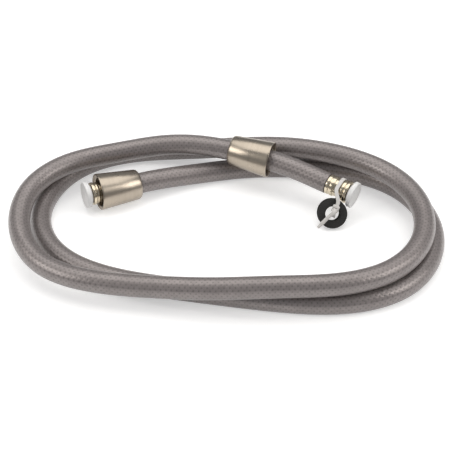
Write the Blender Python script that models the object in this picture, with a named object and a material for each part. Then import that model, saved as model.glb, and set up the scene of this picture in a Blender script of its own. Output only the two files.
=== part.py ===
"""Braided shower and pet-wash hose, coiled, with its two swivel nuts, end fittings, caps and spare washers.

Metres, +Z up, standing on Z = 0 with the origin under the middle of the coil. Both ends of the hose are built
the same way: a nipple and a ferrule grip the hose, a nut runs loose on it, and a plug caps the bore. All turned
pieces are drawn as outlines of (distance, radius) pairs, where distance runs back into the hose from the
sealing face of the fitting, or back from the mouth of the nut.
"""
import bmesh
import bpy
import numpy as np
from math import cos, pi, radians, sin, sqrt, tau
from mathutils import Matrix, Vector

# Gap between neighbouring pieces that touch on the real object.
GAP = 0.0003

# Hose: outer diameter and the walls of its three layers.
HOSE_OUTER = 0.0135
JACKET_WALL = 0.0013
BRAID_WALL = 0.00025
TUBE_WALL = 0.0006

# Course of the hose from the sealing face of fitting A to the back of fitting B.
END_A = (-0.0877, 0.0211, 0.0119)
HEADING_A = 23.5         # plan direction into the hose, degrees from +X
DROP_A = 2.6             # degrees below level, going into the hose
STRAIGHT_A = 0.036
ROUTE = (
    (-0.0210, 0.0490, 0.0068), (0.0175, 0.0575, 0.0054), (0.0410, 0.0580, 0.0054), (0.0825, 0.0530, 0.0054),
    (0.1125, 0.0355, 0.0054), (0.1290, 0.0030, 0.0054), (0.1260, -0.0320, 0.0054), (0.1060, -0.0600, 0.0054),
    (0.0735, -0.0730, 0.0054), (0.0375, -0.0730, 0.0054), (0.0015, -0.0675, 0.0054), (-0.0360, -0.0605, 0.0054),
    (-0.0710, -0.0515, 0.0054), (-0.1025, -0.0320, 0.0054), (-0.1180, -0.0025, 0.0054), (-0.1150, 0.0325, 0.0054),
    (-0.0955, 0.0605, 0.0054), (-0.0630, 0.0745, 0.0058), (-0.0240, 0.0740, 0.0090), (0.0110, 0.0690, 0.0146),
    (0.0440, 0.0613, 0.0197), (0.0760, 0.0510, 0.0207), (0.1040, 0.0335, 0.0201), (0.1210, 0.0040, 0.0195),
    (0.1195, -0.0305, 0.0187), (0.0975, -0.0600, 0.0189), (0.0660, -0.0735, 0.0202), (0.0315, -0.0760, 0.0203),
    (-0.0125, -0.0745, 0.0175), (-0.0410, -0.0705, 0.0151), (-0.0835, -0.0630, 0.0140), (-0.1110, -0.0480, 0.0132),
    (-0.1275, -0.0210, 0.0152), (-0.1250, 0.0185, 0.0191), (-0.1030, 0.0440, 0.0196), (-0.0720, 0.0560, 0.0198),
    (-0.0380, 0.0605, 0.0227),
)
END_B = (0.0660, 0.0252, 0.0172)
HEADING_B = -32.0        # plan direction out of the hose, degrees from +X
ARC_TILT = 11.0          # the arc that carries nut B lies in a plane turned this far about X
ARC_RADIUS = 0.200
ARC_SWEEP = 20.0
CHORD_SAG = 0.0003      # how far a straight run between two rings may leave the curve
LONGEST_CHORD = 0.022
SHORTEST_CHORD = 0.008
OUTER_SIDES = 12
INNER_SIDES = 6

# Fitting: a flanged nipple in the hose, and a ferrule over it.
FLANGE_RADIUS = 0.0074
FLANGE_THICK = 0.0019
NECK_LENGTH = 0.0007
NECK_RADIUS = 0.0063
COLLAR_RADIUS = 0.0069
COLLAR_LENGTH = 0.0020
NIPPLE_BORE = 0.0046
BARB_HEIGHT = 0.0003
BARB_PITCH = 0.0026
BARBS = 4
FERRULE_RADIUS = 0.0066
FERRULE_LENGTH = 0.0101
WAIST_RADIUS = 0.0059
WAIST_LENGTH = 0.0047
BEAD_LENGTH = 0.0021
BEAD_GROOVE = 0.0011
BEAD_DEPTH = 0.0005

# Plug that closes the bore for transport.
CAP_RADIUS = 0.00865
CAP_THICK = 0.0031
CAP_NECK_RADIUS = 0.0062
CAP_NECK = 0.0013
CAP_STEM = 0.0080

# Swivel nut with a G1/2 thread, and the guide bush that carries it on the hose.
NUT_MOUTH_RADIUS = 0.0120
NUT_TAIL_RADIUS = 0.0098
NUT_LENGTH = 0.0280
NUT_EDGE = 0.0006
NUT_TAIL_ROUND = 0.0018
THREAD_MAJOR = 0.01048
THREAD_MINOR = 0.00930
THREAD_PITCH = 0.001814
THREAD_TURNS = 5
SHOULDER_DEPTH = 0.0120
NUT_NECK_RADIUS = 0.0081
BUSH_CLEARANCE = 0.00035
BUSH_LAND = 0.0030
BUSH_FLANGE = 0.0012
BUSH_FLANGE_RADIUS = 0.0091
BUSH_SLEEVE = 0.0042
NUT_A_BACK = 0.0046      # mouth of nut A behind the sealing face of fitting A
NUT_A_TIP = 1.4          # nut A tips up on its bush until its rim meets the floor, degrees
NUT_B_TURN = 11.65       # place of nut B's bush on the arc, degrees back from the arc's end

# Spare flat washers on a cable tie round fitting B's waist.
WASHER_RADIUS = 0.00935
WASHER_HOLE = 0.00475
WASHER_THICK = 0.0020
WASHER_LEAN = 40.0       # degrees that the washers lean back from upright
WASHER_ALONG = 0.0026    # their middle ahead of the middle of the waist
WASHER_SLIP = 0.0009     # how far the front washer has slid down the back one
WASHER_SHIFT = 0.0006    # and to the side
TIE_WIDTH = 0.0024
TIE_THICK = 0.0010
TIE_HEAD = (0.0044, 0.0046, 0.0026)   # size of the head across the strap, along it, and through
TIE_HEAD_RISE = 0.0036   # middle of the head above the middle of the front washer
TIE_SLOT_RISE = 0.0029   # and the slot that the strap comes back through
TIE_LOBE = 0.0012        # how far the strap dips below the washers' middle behind the head
TIE_SIDE = 0.0010        # how far it keeps to one side of the washers' middle there
TIE_SLACK = 0.0012       # and how far it bows out behind them
TIE_TAIL = 0.0150
TIE_TAIL_TURN = 20.0     # the tail leans back along the fitting, degrees

TURNED_SIDES = 24
NUT_SIDES = 36

UP = Vector((0.0, 0.0, 1.0))


# ---------------------------------------------------------------- materials and objects

def material(name, colour, roughness, metallic):
    """One Principled material."""
    made = bpy.data.materials.new(name)
    made.use_nodes = True
    shader = made.node_tree.nodes["Principled BSDF"]
    shader.inputs["Base Color"].default_value = (*colour, 1.0)
    shader.inputs["Roughness"].default_value = roughness
    shader.inputs["Metallic"].default_value = metallic
    return made


def mesh_object(name, shape, made_of, placing=None):
    """Turn a finished bmesh into a named object, placed by a matrix."""
    bmesh.ops.recalc_face_normals(shape, faces=shape.faces)
    mesh = bpy.data.meshes.new(name)
    shape.to_mesh(mesh)
    shape.free()
    mesh.shade_smooth()
    mesh.set_sharp_from_angle(angle=radians(32))
    mesh.materials.append(made_of)
    made = bpy.data.objects.new(name, mesh)
    if placing is not None:
        made.matrix_world = placing
    bpy.context.scene.collection.objects.link(made)
    return made


def frame(origin, along, towards=UP):
    """Matrix whose X runs along a direction and whose Z leans to another one."""
    x = Vector(along).normalized()
    y = Vector(towards).cross(x).normalized()
    z = x.cross(y)
    turn = Matrix((x, y, z)).transposed().to_4x4()
    return Matrix.Translation(origin) @ turn


def turned(name, outline, sides, made_of, placing):
    """Spin an outline of (distance, radius) pairs about X; an outline that starts on the axis stays open there."""
    shape = bmesh.new()
    points = [shape.verts.new((distance, 0.0, radius)) for distance, radius in outline]
    edges = [shape.edges.new(pair) for pair in zip(points, points[1:])]
    if outline[0][1] > 0.0:
        edges.append(shape.edges.new((points[-1], points[0])))
    bmesh.ops.spin(shape, geom=points + edges, cent=(0, 0, 0), axis=(1, 0, 0), angle=tau, steps=sides,
                   use_merge=True)
    bmesh.ops.remove_doubles(shape, verts=shape.verts, dist=1e-6)
    return mesh_object(name, shape, made_of, placing)


# ---------------------------------------------------------------- the course of the hose

def direction(heading, drop=0.0):
    """Unit vector with a plan heading and a fall below level, in degrees."""
    return Vector((cos(radians(heading)) * cos(radians(drop)), sin(radians(heading)) * cos(radians(drop)),
                   -sin(radians(drop))))


def arc_normal():
    """Normal of the plane in which the hose curves ahead of fitting B."""
    return Vector((0.0, -sin(radians(ARC_TILT)), cos(radians(ARC_TILT))))


def direction_b():
    """Direction of fitting B, out of the hose."""
    flat = direction(HEADING_B)
    return (flat - arc_normal() * flat.dot(arc_normal())).normalized()


def arc_end():
    """Where the arc ends and the straight run into fitting B begins."""
    return Vector(END_B) - direction_b() * HOSE_OUTER


def arc_centre():
    return arc_end() + direction_b().cross(arc_normal()) * ARC_RADIUS


def on_arc(turn):
    """Point and forward direction on the arc, a number of degrees back from its end."""
    back = Matrix.Rotation(radians(turn), 3, arc_normal())
    return arc_centre() + back @ (arc_end() - arc_centre()), back @ direction_b()


def smooth_curve(points, first, last, steps):
    """Points along the cubic spline through some points, with given directions at its two ends."""
    through = np.array([tuple(point) for point in points])
    spans = np.linalg.norm(np.diff(through, axis=0), axis=1)
    slopes = np.diff(through, axis=0) / spans[:, None]
    system = np.eye(len(through))
    known = np.zeros((len(through), 3))
    known[0] = tuple(first)
    known[-1] = tuple(last)
    for i in range(1, len(through) - 1):
        system[i, i - 1:i + 2] = (spans[i], 2 * (spans[i - 1] + spans[i]), spans[i - 1])
        known[i] = 3 * (spans[i] * slopes[i - 1] + spans[i - 1] * slopes[i])
    tangents = np.linalg.solve(system, known)
    curve = []
    for i, span in enumerate(spans):
        for t in np.arange(steps) / steps:
            start = (1 + 2 * t) * (1 - t) ** 2 * through[i] + t * (1 - t) ** 2 * span * tangents[i]
            stop = t * t * (3 - 2 * t) * through[i + 1] - t * t * (1 - t) * span * tangents[i + 1]
            curve.append(Vector(start + stop))
    curve.append(Vector(through[-1]))
    return curve


def hose_curve(steps=24):
    """Fine points from the sealing face of fitting A to the back of fitting B."""
    into = direction(HEADING_A, DROP_A)
    bend_start = Vector(END_A) + into * STRAIGHT_A
    arc_start, arc_direction = on_arc(ARC_SWEEP)
    free = smooth_curve([bend_start, *ROUTE, arc_start], into, arc_direction, steps)
    arc = [on_arc(ARC_SWEEP * (1 - i / steps))[0] for i in range(1, steps + 1)]
    return [Vector(END_A), *free, *arc, Vector(END_B)]


def fitting_length():
    """From a sealing face to the back of its ferrule."""
    return FLANGE_THICK + NECK_LENGTH + COLLAR_LENGTH + GAP + FERRULE_LENGTH


def hose_rings(start_back, stop_short):
    """Ring centres for a hose layer, so spaced that no chord leaves the curve by more than its sag."""
    curve = hose_curve()
    into = direction(HEADING_A, DROP_A)
    begin = Vector(END_A) + into * start_back
    finish = Vector(END_B) + direction_b() * stop_short
    rings = [begin, curve[1]]
    for i in range(2, len(curve) - 2):
        chord = (curve[i + 1] - rings[-1]).length
        turning = (curve[i + 1] - curve[i]).angle(curve[i] - curve[i - 1])
        bend = turning / (curve[i + 1] - curve[i]).length
        allowed = sqrt(8 * CHORD_SAG / max(bend, 1e-6))
        if chord > min(max(allowed, SHORTEST_CHORD), LONGEST_CHORD):
            rings.append(curve[i])
    if (rings[-1] - arc_end()).length < SHORTEST_CHORD / 2:
        rings.pop()
    rings.append(arc_end())
    rings.append(finish)
    return rings


def ring_frames(centres):
    """Sideways and upward directions at every ring, square to the hose there."""
    frames = []
    for i, centre in enumerate(centres):
        ahead = centres[min(i + 1, len(centres) - 1)]
        behind = centres[max(i - 1, 0)]
        if 0 < i < len(centres) - 1:
            along = ((ahead - centre).normalized() + (centre - behind).normalized()).normalized()
        else:
            along = (ahead - behind).normalized()
        side = along.cross(UP).normalized()
        frames.append((side, side.cross(along)))
    return frames


def tube(shape, centres, radius, sides, floor=None):
    """Add one open tube to a bmesh and return its rings; a flat side faces down and may stop at a floor."""
    rings = []
    for centre, (side, up) in zip(centres, ring_frames(centres)):
        ring = []
        for i in range(sides):
            angle = tau * (i + 0.5) / sides
            point = centre + side * radius * sin(angle) - up * radius * cos(angle)
            if floor is not None:
                point.z = max(point.z, floor)
            ring.append(shape.verts.new(point))
        rings.append(ring)
    for lower, upper in zip(rings, rings[1:]):
        for i in range(sides):
            j = (i + 1) % sides
            shape.faces.new((lower[i], lower[j], upper[j], upper[i]))
    return rings


def close_end(shape, outer, inner):
    """Fill between two rings of vertices that may differ in number, one triangle at a time."""
    i = 0
    j = 0
    while i < len(outer) or j < len(inner):
        if (i + 0.5) / len(outer) <= (j + 0.5) / len(inner):
            shape.faces.new((outer[i % len(outer)], outer[(i + 1) % len(outer)], inner[j % len(inner)]))
            i += 1
        else:
            shape.faces.new((outer[i % len(outer)], inner[(j + 1) % len(inner)], inner[j % len(inner)]))
            j += 1


def hose_layer(name, start_back, stop_short, outer, inner, outer_sides, floor, made_of):
    """One layer of the hose: an outer and an inner tube, closed at both ends by ring-shaped faces."""
    shape = bmesh.new()
    centres = hose_rings(start_back, stop_short)
    outside = tube(shape, centres, outer, outer_sides, floor)
    inside = tube(shape, centres, inner, INNER_SIDES)
    for end in (0, -1):
        close_end(shape, outside[end], inside[end])
    bmesh.ops.triangulate(shape, faces=shape.faces)
    return mesh_object(name, shape, made_of)


def layer_radii():
    """Corner radii of the layers, outside in, with GAP between their flat sides."""
    gap = GAP / cos(pi / INNER_SIDES)
    jacket_bore = HOSE_OUTER / 2 - JACKET_WALL
    braid = jacket_bore - gap
    braid_bore = braid - BRAID_WALL
    inner = braid_bore - gap
    return jacket_bore, braid, braid_bore, inner, inner - TUBE_WALL


def hose(slots):
    """The three layers; the inner tube alone runs on inside the ferrules."""
    jacket_bore, braid, braid_bore, inner, bore = layer_radii()
    covered = fitting_length() + GAP
    pushed_on = FLANGE_THICK + NECK_LENGTH + COLLAR_LENGTH + 2 * GAP
    reach = fitting_length() - pushed_on
    hose_layer("hose_jacket", covered, -GAP, HOSE_OUTER / 2, jacket_bore, OUTER_SIDES, 0.0, slots["jacket"])
    hose_layer("hose_braid", covered, -GAP, braid, braid_bore, INNER_SIDES, None, slots["braid"])
    hose_layer("hose_inner_tube", pushed_on, reach, inner, bore, INNER_SIDES, None, slots["inner_tube"])


def print_least_gap():
    """Print the hose's length and the least gap between two stretches of it."""
    centres = hose_rings(0.0, 0.0)
    points = []
    for a, b in zip(centres, centres[1:]):
        count = max(1, round((b - a).length / 0.002))
        points.extend(a.lerp(b, i / count) for i in range(count))
    places = np.array([tuple(point) for point in points])
    steps = np.linalg.norm(np.diff(places, axis=0), axis=1)
    travelled = np.concatenate([[0.0], np.cumsum(steps)])
    apart = np.linalg.norm(places[:, None] - places[None], axis=2)
    apart[np.abs(travelled[:, None] - travelled[None]) < 4 * HOSE_OUTER] = 1.0
    print(f"hose: {travelled[-1]:.3f} m, {len(centres)} rings, least gap {1000 * (apart.min() - HOSE_OUTER):.2f} mm")


# ---------------------------------------------------------------- end fittings

def nipple(name, placing, made_of):
    """Flange, neck and collar outside the hose, barbs inside its inner tube, and the water way through all."""
    shoulder = FLANGE_THICK + NECK_LENGTH
    back = shoulder + COLLAR_LENGTH
    barb = layer_radii()[4] * cos(pi / INNER_SIDES) - GAP
    chamfer = FLANGE_THICK / 6
    outline = [(0.0, NIPPLE_BORE / 2), (0.0, FLANGE_RADIUS - chamfer), (chamfer, FLANGE_RADIUS),
               (FLANGE_THICK - chamfer, FLANGE_RADIUS), (FLANGE_THICK, FLANGE_RADIUS - chamfer),
               (FLANGE_THICK, NECK_RADIUS), (shoulder, NECK_RADIUS), (shoulder, COLLAR_RADIUS), (back, COLLAR_RADIUS),
               (back, barb - BARB_HEIGHT)]
    first = back + GAP + BARB_PITCH
    for i in range(BARBS):
        outline += [(first + i * BARB_PITCH, barb), (first + (i + 0.4) * BARB_PITCH, barb - BARB_HEIGHT)]
    outline += [(first + BARBS * BARB_PITCH, barb - BARB_HEIGHT), (first + BARBS * BARB_PITCH, NIPPLE_BORE / 2)]
    turned(name, outline, TURNED_SIDES, made_of, placing)


def ferrule(name, placing, made_of):
    """Sleeve over the hose end: a slim waist, then two beads."""
    start = FLANGE_THICK + NECK_LENGTH + COLLAR_LENGTH + GAP
    waist = start + WAIST_LENGTH
    groove = waist + BEAD_LENGTH
    bead = groove + BEAD_GROOVE
    stop = start + FERRULE_LENGTH
    bore = (layer_radii()[3] + GAP) / cos(pi / TURNED_SIDES)
    outline = [(start, bore), (start, WAIST_RADIUS), (waist, WAIST_RADIUS), (waist, FERRULE_RADIUS),
               (groove, FERRULE_RADIUS), (groove, FERRULE_RADIUS - BEAD_DEPTH), (bead, FERRULE_RADIUS - BEAD_DEPTH),
               (bead, FERRULE_RADIUS), (stop, FERRULE_RADIUS), (stop, bore)]
    turned(name, outline, TURNED_SIDES, made_of, placing)


def cap(name, placing, made_of):
    """Mushroom plug: stem in the bore, small neck against the flange, wide head."""
    stem = NIPPLE_BORE / 2 * cos(pi / TURNED_SIDES) - GAP
    neck = -GAP - CAP_NECK
    outline = [(CAP_STEM, 0.0), (CAP_STEM, stem * 0.7), (CAP_STEM - stem, stem), (-GAP, stem),
               (-GAP, CAP_NECK_RADIUS), (neck, CAP_NECK_RADIUS), (neck, CAP_RADIUS), (neck - CAP_THICK * 0.8, CAP_RADIUS),
               (neck - CAP_THICK, CAP_RADIUS * 0.94), (neck - CAP_THICK, 0.0)]
    turned(name, outline, TURNED_SIDES, made_of, placing)


# ---------------------------------------------------------------- swivel nuts and their bushes

def nut(name, placing, made_of):
    """Conical sleeve nut: thread behind the mouth, shoulder for the bush, and a neck that clears the hose."""
    slope = (NUT_TAIL_RADIUS - NUT_MOUTH_RADIUS) / NUT_LENGTH
    outline = [(NUT_LENGTH, NUT_NECK_RADIUS), (SHOULDER_DEPTH, NUT_NECK_RADIUS), (SHOULDER_DEPTH, THREAD_MAJOR)]
    for i in reversed(range(THREAD_TURNS)):
        outline += [(THREAD_PITCH * (i + 1), THREAD_MAJOR), (THREAD_PITCH * (i + 0.5), THREAD_MINOR)]
    outline += [(0.0, THREAD_MAJOR), (0.0, NUT_MOUTH_RADIUS - NUT_EDGE), (NUT_EDGE, NUT_MOUTH_RADIUS + slope * NUT_EDGE)]
    straight = NUT_LENGTH - NUT_TAIL_ROUND
    outline.append((straight, NUT_MOUTH_RADIUS + slope * straight))
    for i in range(1, 4):
        angle = radians(30 * i)
        outline.append((straight + NUT_TAIL_ROUND * sin(angle), NUT_TAIL_RADIUS - NUT_TAIL_ROUND * (1 - cos(angle))))
    return turned(name, outline, NUT_SIDES, made_of, placing)


def bush_bore():
    """Radius of the hole that runs on the hose."""
    return (HOSE_OUTER / 2 + BUSH_CLEARANCE) / cos(pi / TURNED_SIDES)


def bush_front():
    """Front face of a bush behind the mouth of its nut."""
    return SHOULDER_DEPTH - GAP - BUSH_FLANGE


def guide_bush(name, placing, made_of):
    """Flange on the nut's shoulder, a short land on the hose, and a sleeve in the nut's neck."""
    front = bush_front()
    back = front + BUSH_FLANGE
    sleeve = NUT_NECK_RADIUS * cos(pi / NUT_SIDES) - GAP
    relief = (bush_bore() + sleeve) / 2
    outline = [(front, bush_bore()), (front, BUSH_FLANGE_RADIUS), (back, BUSH_FLANGE_RADIUS), (back, sleeve),
               (back + BUSH_SLEEVE, sleeve), (back + BUSH_SLEEVE, relief), (front + BUSH_LAND, relief),
               (front + BUSH_LAND, bush_bore())]
    return turned(name, outline, TURNED_SIDES, made_of, placing)


def nut_on_hose(side, point, along, slots):
    """A nut and its bush, with the middle of the bush's land at a point of the hose."""
    land = bush_front() + BUSH_LAND / 2
    placing = frame(point - along * land, along)
    bush = guide_bush("guide_bush_" + side, placing, slots["bush"])
    return bush, nut("nut_" + side, placing, slots["nut"])


def nut_a_place():
    """Middle of bush A's land, and the nut's direction from mouth to tail."""
    along = direction(HEADING_A, DROP_A)
    land = NUT_A_BACK + bush_front() + BUSH_LAND / 2
    return Vector(END_A) + along * land, direction(HEADING_A, DROP_A + NUT_A_TIP)


def nut_b_place():
    """The same for nut B, which sits back on the arc."""
    point, ahead = on_arc(NUT_B_TURN)
    return point, -ahead


# ---------------------------------------------------------------- washers and their tie

def waist_middle():
    """Middle of fitting B's waist."""
    along = FERRULE_LENGTH - WAIST_LENGTH / 2
    return Vector(END_B) + direction_b() * along


def washer_places():
    """Middles of the back and front washer, and the direction their faces look."""
    lean = radians(WASHER_LEAN)
    face = Vector((0.0, -cos(lean), sin(lean)))
    rise = Vector((0.0, sin(lean), cos(lean)))
    height = WASHER_RADIUS * cos(lean) + WASHER_THICK / 2 * sin(lean)
    reach = FLANGE_RADIUS + GAP + WASHER_RADIUS
    middle = waist_middle() + direction_b() * WASHER_ALONG
    below = middle.z - height
    sideways = direction_b().cross(UP).normalized()
    back = middle + sideways * sqrt(reach ** 2 - below ** 2)
    back.z = height
    front = back + face * (WASHER_THICK + GAP) - rise * WASHER_SLIP + Vector((WASHER_SHIFT, 0.0, 0.0))
    return back, front, face


def washer(name, place, face, made_of):
    """Flat sealing washer."""
    half = WASHER_THICK / 2
    outline = [(-half, WASHER_HOLE), (-half, WASHER_RADIUS), (half, WASHER_RADIUS), (half, WASHER_HOLE)]
    return turned(name, outline, TURNED_SIDES, made_of, frame(place, face))


def waist_frame():
    """Origin and axes of the strap's turn round the waist: along the fitting, down to the washers, to the front."""
    along = direction_b()
    down = washer_places()[0] - waist_middle()
    down = (down - along * down.dot(along)).normalized()
    origin = waist_middle() + along * (WAIST_LENGTH / 2 - TIE_WIDTH / 2 - GAP)
    return origin, along, down, down.cross(along)


def head_frame():
    """Origin and axes of the tie's head: middle of the front washer, across the strap, down, out of its face."""
    front, face = washer_places()[1:]
    across = direction_b()
    across = (across - face * across.dot(face)).normalized()
    return front, across, across.cross(face), face


def pivot(name, origin, pieces):
    """Empty on a joint's axis, as the parent of the pieces that the joint moves."""
    made = bpy.data.objects.new(name, None)
    made.location = origin
    bpy.context.scene.collection.objects.link(made)
    for piece in pieces:
        piece.parent = made
        piece.matrix_parent_inverse = Matrix.Translation(origin).inverted()


def in_frame(axes, points):
    """World places of points given in a frame's own axes."""
    origin, x, y, z = axes
    return [origin + x * a + y * b + z * c for a, b, c in points]


def box(shape, middle, axes, size):
    """Add a box with given axes to a bmesh."""
    turn = Matrix(axes).transposed().to_4x4()
    scale = Matrix.Diagonal((*size, 1.0))
    bmesh.ops.create_cube(shape, size=1.0, matrix=Matrix.Translation(middle) @ turn @ scale)


def strap_line():
    """Middle line of the strap, with the direction across it at each point.

    It starts inside the head, turns round the waist, comes back through the washers and ends at the tail's tip.
    """
    face = WASHER_THICK / 2 + GAP
    head_out = face + TIE_HEAD[2] / 2
    head_top = -TIE_HEAD_RISE - TIE_HEAD[1] / 2
    root = [(0.0, head_top + TIE_THICK / 2, head_out), (0.0, head_top - TIE_THICK, head_out)]
    radius = WAIST_RADIUS + 1.5 * GAP + TIE_THICK / 2
    turn = [radians(angle) for angle in range(90, 300, 25)]
    round_waist = [(0.2 * TIE_SIDE, 0.6 * radius, 1.06 * radius)]
    round_waist += [(0.0, radius * cos(angle), radius * sin(angle)) for angle in turn]
    round_waist.append((-0.2 * TIE_SIDE, radius, -0.7 * radius))
    behind = -1.5 * WASHER_THICK - GAP - TIE_THICK
    lobe = [(0.2 * TIE_SIDE, -WASHER_HOLE, behind - TIE_SLACK), (TIE_SIDE, -TIE_SIDE, behind - TIE_SLACK / 3),
            (1.2 * TIE_SIDE, TIE_LOBE, behind + 1.1 * WASHER_THICK), (TIE_SIDE, 0.8 * TIE_LOBE, -0.1 * WASHER_THICK)]
    slot = [(0.3 * TIE_SIDE, -TIE_SLOT_RISE + 0.9 * TIE_THICK, face - 0.4 * TIE_THICK),
            (0.0, -TIE_SLOT_RISE, head_out),
            (0.0, -TIE_SLOT_RISE - 0.1 * TIE_THICK, face + TIE_HEAD[2] + 0.4 * TIE_THICK)]
    lean = radians(TIE_TAIL_TURN)
    over = face + TIE_HEAD[2] + TIE_THICK
    tail = [(-TIE_TAIL * share * sin(lean), TIE_TAIL * share * cos(lean) - TIE_SLOT_RISE + TIE_THICK,
             over + lift * TIE_THICK) for share, lift in ((0.02, 0.3), (0.3, 0.0), (0.65, -0.4), (1.0, -1.2))]
    head = head_frame()
    waist = waist_frame()
    line = [(place, head[1]) for place in in_frame(head, root)]
    line += [(place, waist[1]) for place in in_frame(waist, round_waist)]
    line += [(place, head[1]) for place in in_frame(head, lobe + slot + tail)]
    return line


def strap(shape):
    """Sweep the strap's oblong section along its middle line."""
    line = strap_line()
    places = [place for place, across in line]
    steps = 3
    curve = smooth_curve(places, (places[1] - places[0]).normalized(), (places[-1] - places[-2]).normalized(), steps)
    rings = []
    for i, point in enumerate(curve):
        before = line[i // steps][1]
        after = line[min(i // steps + 1, len(line) - 1)][1]
        across = before.lerp(after, (i % steps) / steps)
        ahead = (curve[min(i + 1, len(curve) - 1)] - curve[max(i - 1, 0)]).normalized()
        wide = (across - ahead * across.dot(ahead)).normalized() * TIE_WIDTH / 2
        thick = ahead.cross(wide).normalized() * TIE_THICK / 2
        corners = (wide + thick, thick - wide, -wide - thick, wide - thick)
        rings.append([shape.verts.new(point + corner) for corner in corners])
    for lower, upper in zip(rings, rings[1:]):
        for i in range(4):
            j = (i + 1) % 4
            shape.faces.new((lower[i], lower[j], upper[j], upper[i]))
    shape.faces.new(rings[0])
    shape.faces.new(rings[-1])
    bmesh.ops.triangulate(shape, faces=shape.faces)


def cable_tie(made_of):
    """Strap and slotted head in one piece."""
    origin, across, down, out = head_frame()
    lift = WASHER_THICK / 2 + GAP + TIE_HEAD[2] / 2
    head = bmesh.new()
    box(head, origin - down * TIE_HEAD_RISE + out * lift, (across, down, out), TIE_HEAD)
    slot = bmesh.new()
    slot_size = (TIE_WIDTH + 2.5 * GAP, TIE_THICK + 4 * GAP, TIE_HEAD[2] * 2)
    box(slot, origin - down * TIE_SLOT_RISE + out * lift, (across, down, out), slot_size)
    band = bmesh.new()
    strap(band)
    made = mesh_object("cable_tie", head, made_of)
    for name, shape, operation in (("tie_slot", slot, "DIFFERENCE"), ("tie_strap", band, "UNION")):
        tool = mesh_object(name, shape, made_of)
        tool.hide_render = True
        tool.display_type = "WIRE"
        cut = made.modifiers.new(name, "BOOLEAN")
        cut.operation = operation
        cut.object = tool
    return made


# ---------------------------------------------------------------- assembly

def slots():
    """Materials by the name of the piece's slot."""
    return {
        "jacket": material("pvc_jacket", (0.25, 0.235, 0.225), 0.35, 0.0),
        "braid": material("braid", (0.45, 0.43, 0.41), 0.7, 0.0),
        "inner_tube": material("inner_tube", (0.75, 0.75, 0.73), 0.5, 0.0),
        "fitting": material("polished_fitting", (0.80, 0.75, 0.63), 0.15, 1.0),
        "nut": material("brushed_nut", (0.62, 0.55, 0.46), 0.32, 1.0),
        "bush": material("nylon_bush", (0.85, 0.84, 0.80), 0.5, 0.0),
        "cap": material("cap_plastic", (0.75, 0.75, 0.73), 0.45, 0.0),
        "washer": material("washer_rubber", (0.018, 0.015, 0.015), 0.6, 0.0),
        "tie": material("tie_nylon", (0.70, 0.65, 0.62), 0.45, 0.0),
    }


def main():
    for old in list(bpy.data.objects):
        bpy.data.objects.remove(old, do_unlink=True)
    made_of = slots()
    hose(made_of)
    end_a = frame(Vector(END_A), direction(HEADING_A, DROP_A))
    face_b = Vector(END_B) + direction_b() * fitting_length()
    end_b = frame(face_b, -direction_b())
    for side, placing in (("a", end_a), ("b", end_b)):
        nipple("nipple_" + side, placing, made_of["fitting"])
        ferrule("ferrule_" + side, placing, made_of["fitting"])
        cap("cap_" + side, placing, made_of["cap"])
    nut_on_hose("a", *nut_a_place(), made_of)
    pivot("nut_b_pivot", arc_centre(), nut_on_hose("b", *nut_b_place(), made_of))
    back, front, face = washer_places()
    spares = [washer("washer_1", front, face, made_of["washer"]), washer("washer_2", back, face, made_of["washer"])]
    pivot("tie_pivot", waist_frame()[0], [cable_tie(made_of["tie"]), *spares])
    print_least_gap()


main()
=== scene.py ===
"""Coiled braided shower hose with two swivel nuts: the finished pieces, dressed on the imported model.

Metres, in the model's own frame. The hose follows the same course as its solid. Turned pieces are outlines
of (distance, radius) pairs that are spun about their own X axis. Distance runs back into the hose from the
sealing face of a fitting, back from the mouth of a nut, or forwards from the middle of a washer.
"""
import bmesh
import bpy
import numpy as np
from math import cos, pi, radians, sin, sqrt, tau
from mathutils import Matrix, Vector


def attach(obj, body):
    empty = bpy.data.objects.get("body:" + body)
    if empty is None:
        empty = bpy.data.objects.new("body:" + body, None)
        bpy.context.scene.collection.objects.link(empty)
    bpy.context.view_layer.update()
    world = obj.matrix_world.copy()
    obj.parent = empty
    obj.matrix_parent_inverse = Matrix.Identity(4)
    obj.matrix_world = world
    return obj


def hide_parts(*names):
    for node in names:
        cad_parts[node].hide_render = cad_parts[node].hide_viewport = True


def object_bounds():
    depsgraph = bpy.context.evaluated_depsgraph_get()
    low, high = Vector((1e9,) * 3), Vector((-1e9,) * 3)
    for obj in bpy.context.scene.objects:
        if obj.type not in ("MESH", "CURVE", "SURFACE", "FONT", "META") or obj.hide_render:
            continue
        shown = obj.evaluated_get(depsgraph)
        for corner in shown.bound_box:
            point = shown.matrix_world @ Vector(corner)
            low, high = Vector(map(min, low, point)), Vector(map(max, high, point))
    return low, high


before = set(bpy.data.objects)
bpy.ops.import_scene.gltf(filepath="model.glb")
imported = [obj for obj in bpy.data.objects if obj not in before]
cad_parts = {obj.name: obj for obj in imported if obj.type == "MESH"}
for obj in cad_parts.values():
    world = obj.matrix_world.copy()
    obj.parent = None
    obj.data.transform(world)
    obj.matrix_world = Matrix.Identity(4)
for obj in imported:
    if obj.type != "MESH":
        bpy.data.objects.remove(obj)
cad_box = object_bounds()

UP = Vector((0.0, 0.0, 1.0))
GAP = 0.0003                 # clearance between neighbouring pieces

# Camera: the point on the floor that it aims at, where it stands from there, and its lens in millimetres.
CAMERA_AIM = (-0.0007, 0.0035, 0.0)
CAMERA_STAND = (0.0, -0.5663, 0.4752)
CAMERA_LENS = 91.8
CAMERA_FILM = 36.0

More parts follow.
